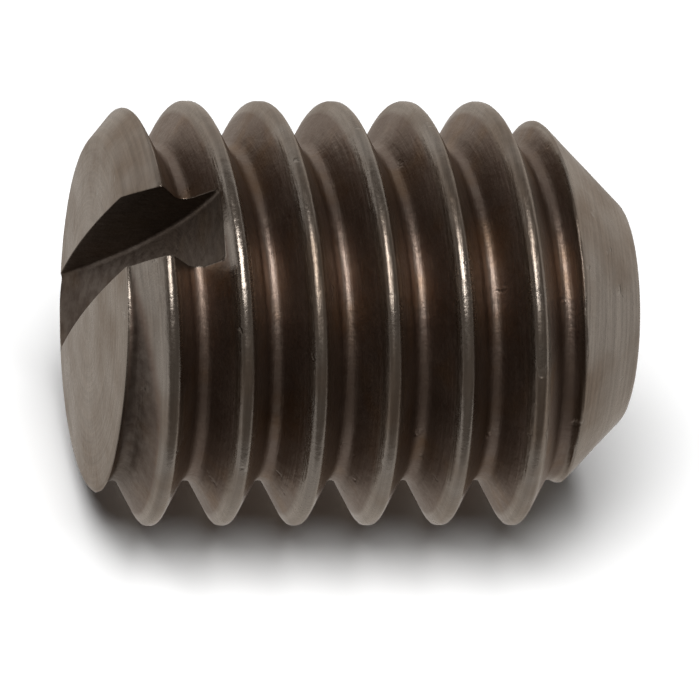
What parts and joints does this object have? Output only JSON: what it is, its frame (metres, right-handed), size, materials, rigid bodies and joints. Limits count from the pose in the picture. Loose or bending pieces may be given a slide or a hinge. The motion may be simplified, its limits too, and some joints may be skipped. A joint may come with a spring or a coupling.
{
  "type": "grub set screw",
  "caption": "Headless slotted set screw, threaded over its whole length, with a flat point behind a long cone.",
  "frame": {"origin": "centre of the flat point's face, on which the screw stands", "axes": "+Z along the screw's axis, from the point to the slotted end; the slot runs along Y and lies to the +X side of the axis"},
  "size_m": [0.004, 0.004, 0.0051],
  "materials": {
    "steel": "dull, lightly oiled, thread-rolled and turned steel"
  },
  "bodies": {
    "root": {"set_screw": "steel"}
  },
  "joints": []
}
